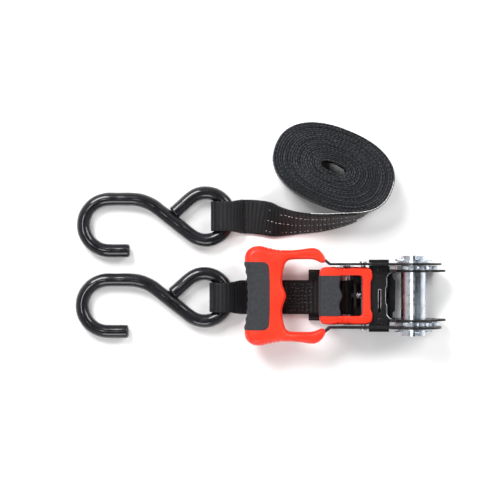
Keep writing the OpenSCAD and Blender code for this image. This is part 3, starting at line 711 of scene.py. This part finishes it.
def inside(points, line):
    """Which points lie inside a closed outline, by counting the edges that each one is left of."""
    x, y = points[:, 0][:, None], points[:, 1][:, None]
    x0, y0 = line[:, 0][None], line[:, 1][None]
    x1, y1 = np.roll(line[:, 0], -1)[None], np.roll(line[:, 1], -1)[None]
    spans = (y0 > y) != (y1 > y)
    cross = x0 + (y - y0) * (x1 - x0) / np.where(y1 == y0, 1e-12, y1 - y0)
    return (np.sum(spans & (x < cross), 1) % 2) == 1


def away(points, line):
    """Distance from each point to the nearest point of a line."""
    return np.sqrt(np.min(np.sum((line[None] - points[:, None]) ** 2, 2), 1))


FACE_GRID = 0.0011


def ramped(values, start, length):
    """How far values lie past start, as a share of length, from 0 to 1."""
    return np.clip((values - start) / length, 0, 1)


def eased(share):
    """A share from 0 to 1 with a slow start and a slow end: 3 s^2 - 2 s^3."""
    return share * share * (3 - 2 * share)


def flank_ridges(line, on_flank, x_from, x_to, fade, pitch):
    """Depth of the small ridges at each point of an outline: a sine wave along X where on_flank
    holds and x is between x_from and x_to, starting and stopping over a length of fade."""
    x = line[:, 0]
    there = ramped(x, x_from, fade) * ramped(-x, -x_to, fade) * on_flank
    return 0.00065 * there * (0.5 + 0.5 * np.sin(2 * math.pi * x / pitch))


def moulding(name, loops, hole=None, crown=None):
    """A closed solid from stacked loops. Its two faces are triangulated over a square grid and
    raised by crown(points), or are joined straight to the hole's loops."""
    n, rings = len(loops[0]), len(loops)
    grid = np.arange(rings * n).reshape(rings, n)
    points = np.vstack(loops)

    def wall(index, flip):
        """The quads between stacked loops of points, turned the other way round by flip."""
        a, b = index[:-1], np.roll(index, -1, 1)[:-1]
        c, d = np.roll(index, -1, 1)[1:], index[1:]
        quad = np.stack([a, b, c, d], -1).reshape(-1, 4)
        return (quad[:, ::-1] if flip else quad).tolist()

    faces = wall(grid, False)
    if hole is not None:
        inner = grid[-1, -1] + 1 + np.arange(len(hole) * n).reshape(len(hole), n)
        points = np.vstack([points] + list(hole))
        faces += wall(inner, True)
        for outer, near, flip in ((grid[-1], inner[-1], False), (grid[0], inner[0], True)):
            quad = np.column_stack([outer, np.roll(outer, -1), np.roll(near, -1), near])
            faces += (quad[:, ::-1] if flip else quad).tolist()
        return mesh_piece(name, points, faces)
    rim, flat = loops[-1], loops[-1][:, :2]
    low, high = flat.min(0), flat.max(0)
    gx, gy = np.meshgrid(np.arange(low[0], high[0], FACE_GRID), np.arange(low[1], high[1], FACE_GRID))
    within = np.column_stack([gx.ravel(), gy.ravel()])
    within = within[inside(within, flat)]
    within = within[away(within, flat) > 0.6 * FACE_GRID]
    made = delaunay_2d_cdt([Vector(q) for q in np.vstack([flat, within]).tolist()],
                           [(k, (k + 1) % n) for k in range(n)], [], 1, 1e-7)
    source = [ids[0] if ids else -1 for ids in made[3]]
    cap = np.array([[source[k] for k in f] for f in made[2] if all(source[k] >= 0 for k in f)])
    a, b, c = np.vstack([flat, within])[cap.T]
    turned = (b - a)[:, 0] * (c - a)[:, 1] - (b - a)[:, 1] * (c - a)[:, 0] < 0
    cap[turned] = cap[turned][:, ::-1]
    top_z = crown(within)
    middle = (loops[0][:, 2].mean() + rim[:, 2].mean()) / 2
    start = len(points)
    points = np.vstack([points, np.column_stack([within, top_z]),
                        np.column_stack([within, 2 * middle - top_z])])
    top = np.concatenate([grid[-1], start + np.arange(len(within))])
    low = np.concatenate([grid[0], start + len(within) + np.arange(len(within))])
    faces += top[cap].tolist() + low[cap][:, ::-1].tolist()
    return mesh_piece(name, points, faces)


def prism(name, line, low, high):
    """A plain block with that outline, used only to trim a moulding."""
    n = len(line)
    points = np.vstack([np.column_stack([line, np.full(n, z)]) for z in (low, high)])
    k = np.arange(n)
    faces = np.column_stack([k, (k + 1) % n, (k + 1) % n + n, k + n]).tolist()
    return mesh_piece(name, points, faces + [list(range(n))[::-1], list(range(n, 2 * n))])


def trimmed(obj, block):
    """The part of obj that lies inside the block, as one clean mesh; the block is used up."""
    cut = obj.modifiers.new("trim", "BOOLEAN")
    cut.operation, cut.solver, cut.object = "INTERSECT", "EXACT", block
    bpy.context.view_layer.update()
    data = bpy.data.meshes.new_from_object(obj.evaluated_get(bpy.context.evaluated_depsgraph_get()))
    obj.modifiers.clear()
    obj.data = data
    bpy.data.objects.remove(block)
    return obj


# Half of the grip's outline, from its outer edge round the arm's end to the window, in mm from
# the spool's axis.
GRIP_HALF = np.array([
    [-121.6, 0], [-121.9, 8], [-122.8, 16], [-124.1, 23], [-124.5, 28], [-123.6, 31.4],
    [-121.6, 34.2], [-118, 36.2], [-113.5, 36.8], [-108.5, 35.9], [-103, 34.6], [-97, 33.7], [-90, 33.5],
    [-83, 34.1], [-77, 35.1], [-73, 35.3], [-70, 34.1], [-67.4, 31.8], [-65.6, 29], [-64.6, 26.6],
    [-65.1, 24.4], [-67.6, 24.1], [-69.8, 25.1], [-72.6, 26.5], [-76, 26.8], [-88, 26.8],
    [-92.4, 26.2], [-94.6, 23.6], [-96.1, 18], [-96.9, 11.5], [-96.2, 6.8], [-94.4, 3.0],
    [-93.6, 0]])
GRIP_Z, ARM_HALF_HEIGHT, GRIP_SWELL = 0.022, 0.0079, 0.0025


def swell_at(x):
    """How far the moulding has thickened from the arms, at 0, to the grip, at 1."""
    return eased(ramped(-x, 0.083, 0.012))


grip_line = even(mirrored(GRIP_HALF) / 1000, 0.00045, 0.0011, closed=True)
on_flank = np.abs(np.abs(grip_line[:, 1]) - 0.0345) < 0.004
ridges = flank_ridges(grip_line, on_flank, -0.1105, -0.0945, 0.002, 0.0029)
grip_line = grip_line + inward(grip_line) * ridges[:, None]
swell = swell_at(grip_line[:, 0])
# The edge's rounding is widest round the grip and narrowest at the arms' ends.
reach = (0.0029 + 0.0020 * ramped(-grip_line[:, 0], 0.097, 0.01)
         - 0.0014 * ramped(grip_line[:, 0], -0.0740, 0.005))
sides = rounded_sides(grip_line, GRIP_Z, ARM_HALF_HEIGHT + GRIP_SWELL * swell, reach,
                      0.0038 + 0.0030 * swell, rows=11, relax=6)
rim = sides[-1][:, :2]


def grip_top(points):
    """Height of the moulding's upper face: thicker at the grip, crowned away from its edges."""
    return (GRIP_Z + ARM_HALF_HEIGHT + GRIP_SWELL * swell_at(points[:, 0])
            + 0.0005 * eased(ramped(away(points, rim), 0.0, 0.007)))


grip = moulding("handle_moulding", sides, crown=grip_top)
skin_blank = grip.copy()
skin_blank.data = grip.data.copy()
link(skin_blank)
grip.data.transform(Matrix.Translation(SEAT))
red = Shader("red_nylon", Roughness=0.38, Specular_IOR_Level=0.28, Subsurface_Weight=0.06,
             Subsurface_Scale=0.002, Coat_Weight=0.08, Coat_Roughness=0.3)
red.set("Base Color", red.blend(red.ramp(red.noise(35.0, 4.0), 0.3, 0.7),
                                (0.77, 0.024, 0.007, 1), (0.85, 0.038, 0.014, 1)))
red.set("Roughness", red.ramp(red.noise(340.0, 5.0, 0.65), 0.3, 0.7, 0.33, 0.47))
red.bump(red.noise(2600.0, 3.0), 0.12, 0.0001)
red.bump(red.noise(60.0, 2.0), 0.10, 0.0012)
red_nylon = red.done()
paint(grip, red_nylon)
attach(grip, "handle")
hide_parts("handle_shell")

# The skin is the moulding's own surface raised by 0.35 mm, with finger waves 5.8 mm apart along
# its far edge, trimmed to a block with rounded corners on the window's side.
count = len(skin_blank.data.vertices)
place, normal = np.empty(count * 3), np.empty(count * 3)
skin_blank.data.vertices.foreach_get("co", place)
skin_blank.data.vertices.foreach_get("normal", normal)
place, normal = place.reshape(-1, 3), normal.reshape(-1, 3)
waves = ramped(-place[:, 0], 0.1175, 0.003) * np.cos(2 * math.pi * place[:, 1] / 0.0058)
place += normal * (0.00035 + 0.00030 * waves)[:, None]
skin_blank.data.vertices.foreach_set("co", place.ravel())
skin_blank.data.update()
block_half = [(-0.135, 0.0250), (-0.1110, 0.0250), (-0.1092, 0.0246), (-0.1077, 0.0236),
              (-0.1068, 0.0220), (-0.1064, 0.0200), (-0.1060, 0.010)]
block = prism("skin_block", mirrored(block_half), 0.0, 0.05)
pad = trimmed(skin_blank, block)
pad.name = "handle_grip_skin"
pad.data.transform(Matrix.Translation(SEAT))
soft = Shader("charcoal_soft_skin", Roughness=0.72, Specular_IOR_Level=0.22, Sheen_Weight=0.06)
soft.set("Base Color", soft.blend(soft.ramp(soft.noise(420.0, 6.0, 0.7), 0.3, 0.7),
                                  (0.022, 0.023, 0.027, 1), (0.036, 0.038, 0.044, 1)))
soft.set("Roughness", soft.ramp(soft.noise(1200.0, 4.0), 0.3, 0.7, 0.62, 0.82))
soft.bump(soft.noise(2400.0, 4.0, 0.7), 0.35, 0.00014)
soft_skin = soft.done()
paint(pad, soft_skin)
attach(pad, "handle")
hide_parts("handle_pad")

# ---- release ring and its overmould ----
# A finger ring moulded in the same red nylon onto the drive pawl's tongue, rounded all over,
# with fine ridges on its flanks, and a charcoal soft skin over the side that the fingers pull.

# Halves of the ring's outline, of its hole and of the skin over it, in mm from the spool's axis.
RING_HALF = np.array([
    [-69.3, 0], [-69.3, 15.5], [-68.9, 18.2], [-67.6, 20.2], [-65.2, 21.1], [-60, 21.3],
    [-40, 21.3], [-34.4, 21.1], [-32.0, 20.2], [-30.7, 18.4], [-30.3, 16], [-30.3, 12.6],
    [-31.2, 11.4], [-31.5, 10], [-31.7, 0]])
HOLE_HALF = np.array([
    [-55.7, 0], [-55.7, 12.2], [-54.6, 14.2], [-52.4, 15], [-40, 15], [-38.4, 14.4], [-37.6, 12.8],
    [-37.5, 0]])
PAD_HALF = np.array([
    [-69.6, 0], [-69.5, 5], [-69.7, 10], [-69.5, 15], [-69.6, 19], [-54.0, 19], [-53.8, 14.8],
    [-53.6, 12.6], [-54.6, 9.0], [-54.7, 6.0], [-53.4, 3.0], [-52.5, 0]])
RING_Z, RING_HALF_HEIGHT, SKIN_HALF_HEIGHT = 0.023, 0.0044, 0.00475


def matched(half, soften, count=420):
    """An outline as points at even angles seen from the ring's middle, counterclockwise from its
    +X side, so that the outline and the hole have the same number of points."""
    line = even(mirrored(half) / 1000, 0.0003, soften, closed=True)
    start = int(np.argmax(line[:, 0] - 3 * np.abs(line[:, 1])))
    line = np.roll(line, -start, 0)
    closed = np.vstack([line, line[:1]])
    middle = np.array([-0.0465, 0.0])
    angle = np.unwrap(np.arctan2(*(closed - middle).T[::-1]))
    want = angle[0] + np.linspace(0, 2 * math.pi, count + 1)[:-1]
    return np.stack([np.interp(want, angle, closed[:, k]) for k in range(2)], 1)


ring_line = matched(RING_HALF, 0.0007)
hole_line = matched(HOLE_HALF, 0.0005)
on_flank = np.abs(ring_line[:, 1]) > 0.019
ridges = flank_ridges(ring_line, on_flank, -0.0575, -0.0455, 0.001, 0.0024)
ring_line = ring_line + inward(ring_line) * ridges[:, None]
outer_sides = rounded_sides(ring_line, RING_Z, RING_HALF_HEIGHT, 0.0019, 0.0024, rows=8)
inner_sides = rounded_sides(hole_line, RING_Z, RING_HALF_HEIGHT, -0.0013, 0.0016, rows=8)
ring = moulding("ring_moulding", [p + SEAT for p in outer_sides], [p + SEAT for p in inner_sides])
paint(ring, red_nylon)
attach(ring, "drive_pawl")
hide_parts("release_ring")

pad_line = even(mirrored(PAD_HALF) / 1000, 0.0004, 0.0004, closed=True)
far = ramped(-pad_line[:, 0], 0.0640, 0.002)
sides = rounded_sides(pad_line, RING_Z, SKIN_HALF_HEIGHT, 0.0015 + 0.0006 * far,
                      0.0022 + 0.0006 * far)
pad = moulding("ring_grip_skin", sides,
               crown=lambda points: np.full(len(points), RING_Z + SKIN_HALF_HEIGHT))
# The skin ends flush with the hole's two sides.
block = prism("ring_block", mirrored([(-0.09, 0.0149), (-0.05, 0.0149)]), 0.0, 0.05)
pad = trimmed(pad, block)
pad.data.transform(Matrix.Translation(SEAT))
paint(pad, soft_skin)
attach(pad, "drive_pawl")
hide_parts("release_pad")

# ---- springs ----
# Two small compression springs of zinc plated wire: one pushes the drive pawl into the wheels
# and one the lock pawl. They are coiled with closed ends; the real springs shorten as their pawl slides,
# which these coils do not.

WIRE_R = 0.0004


def coil(name, x0, x1, z, radius, turns):
    """Wire wound round X from x0 to x1, its pitch closing up over the first and last turn."""
    t = np.linspace(0, turns, turns * 28 + 1)
    close = np.interp(t, [0, 0.9, turns - 0.9, turns], [0, 0.12, 0.88, 1])
    x = x0 + WIRE_R + (x1 - x0 - 2 * WIRE_R) * close
    out = np.column_stack([0 * t, np.cos(2 * math.pi * t), np.sin(2 * math.pi * t)])
    line = out * radius + np.column_stack([x, 0 * t, 0 * t + z])
    ahead = unit(np.gradient(line, axis=0))
    out = unit(out - ahead * np.sum(out * ahead, 1, keepdims=True))
    return skin(name, wire_rings(line, WIRE_R, 10, out, np.cross(ahead, out)) + SEAT)


springs = []
for node, x0, x1, z, radius, turns, body, joint, keep in (
        ("lock_spring", -0.0417, -0.0355, 0.01285, 0.00242, 5, "base", "lock_release", 0.30),
        ("drive_spring", -0.0346, -0.0276, 0.0174, 0.00205, 6, "handle", "ring_pull", 0.43)):
    made = coil(node + "_coil", x0, x1, z, radius, turns)
    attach(made, body)
    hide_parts(node)
    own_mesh(made)
    springs.append(made)

# ---- steel parts ----
# Wheels, spool, bolt, nut, tie rod, bar, washers and cotter pins are bright zinc plate, slightly
# blue, with fine tool lines. Base, arms and pawls are pressed plate under semi-gloss black
# paint, worn through to the steel here and there along their edges.

zinc = Shader("zinc_plate", Metallic=1.0, Roughness=0.24)
zinc.soft_edges(0.00025)
grain = zinc.noise(1.0, 4.0, 0.6, where=zinc.stretched((2600.0, 130.0, 2600.0)))
cloud = zinc.noise(180.0, 5.0, 0.6)
zinc.set("Base Color", zinc.blend(zinc.ramp(cloud, 0.3, 0.7),
                                  (0.52, 0.58, 0.66, 1), (0.76, 0.80, 0.84, 1)))
zinc.set("Roughness", zinc.ramp(zinc.math("ADD", zinc.math("MULTIPLY", grain, 0.5),
                                          zinc.math("MULTIPLY", cloud, 0.5)), 0.3, 0.7, 0.17, 0.40))
zinc.bump(grain, 0.16, 0.00008)
zinc_plate = zinc.done()

for name in ("spool_half_front", "spool_half_rear", "ratchet_wheel_left", "ratchet_wheel_right",
             "spool_washers", "cotter_pins", "anchor_bolt", "anchor_nut", "handle_tie_rod",
             "handle_bar"):
    paint(nodes[name], zinc_plate)
for made in springs:
    paint(made, zinc_plate)

PAINT_BLACK = (0.009, 0.009, 0.010, 1)


def edge_turn(made, radius):
    """Rounds a plate's edges and says where they are: 1 on its flat faces, less on its edges."""
    made.soft_edges(radius, samples=6)
    true_normal = made.node("ShaderNodeNewGeometry").outputs["Normal"]
    return made.node("ShaderNodeVectorMath", {0: made.normal, 1: true_normal},
                     operation="DOT_PRODUCT").outputs["Value"]


def painted_plate(made, bare, steel, smooth, rough):
    """Black paint over a plate's steel, which shows where bare is 1."""
    made.set("Base Color", made.blend(bare, PAINT_BLACK, steel))
    made.set("Metallic", bare)
    made.set("Roughness", made.ramp(made.noise(600.0, 5.0, 0.6), 0.3, 0.7, smooth, rough))
    made.bump(made.noise(1500.0, 3.0), 0.14, 0.00012)
    return made.done()


black = Shader("black_paint", Roughness=0.34, Specular_IOR_Level=0.3, Coat_Weight=0.12,
               Coat_Roughness=0.2)
worn = black.math("MULTIPLY", black.ramp(edge_turn(black, 0.00035), 0.985, 0.90),
                  black.ramp(black.noise(700.0, 5.0, 0.7), 0.52, 0.62))
black_paint = painted_plate(black, worn, (0.42, 0.43, 0.45, 1), 0.28, 0.46)
for name in ("base_frame", "handle_arm_left", "handle_arm_right", "lock_pawl", "pawl_rivets"):
    paint(nodes[name], black_paint)

# The drive pawl has the same paint, but its front edge and its slit are bright bare metal.
edge = Shader("sheared_edge_paint", Roughness=0.32, Specular_IOR_Level=0.3)
turned = edge_turn(edge, 0.0008)
front = edge.node("ShaderNodeSeparateXYZ", {"Vector": edge.place}).outputs
from_middle = edge.math("ABSOLUTE", edge.math("SUBTRACT", front["Y"], float(SEAT[1])))
fore = edge.math("MULTIPLY", edge.ramp(front["X"], SEAT[0] - 0.0222, SEAT[0] - 0.0214),
                 edge.ramp(from_middle, 0.0172, 0.0166))
slit = edge.math("MULTIPLY", edge.ramp(front["X"], SEAT[0] - 0.0275, SEAT[0] - 0.0270),
                 edge.ramp(from_middle, 0.0095, 0.0088))
bare = edge.math("MULTIPLY", edge.math("MAXIMUM", fore, slit), edge.ramp(turned, 0.999, 0.97))
bare = edge.math("MULTIPLY", bare, edge.ramp(edge.noise(260.0, 4.0), 0.32, 0.45))
paint(nodes["drive_pawl"], painted_plate(edge, bare, (0.85, 0.87, 0.90, 1), 0.26, 0.44))
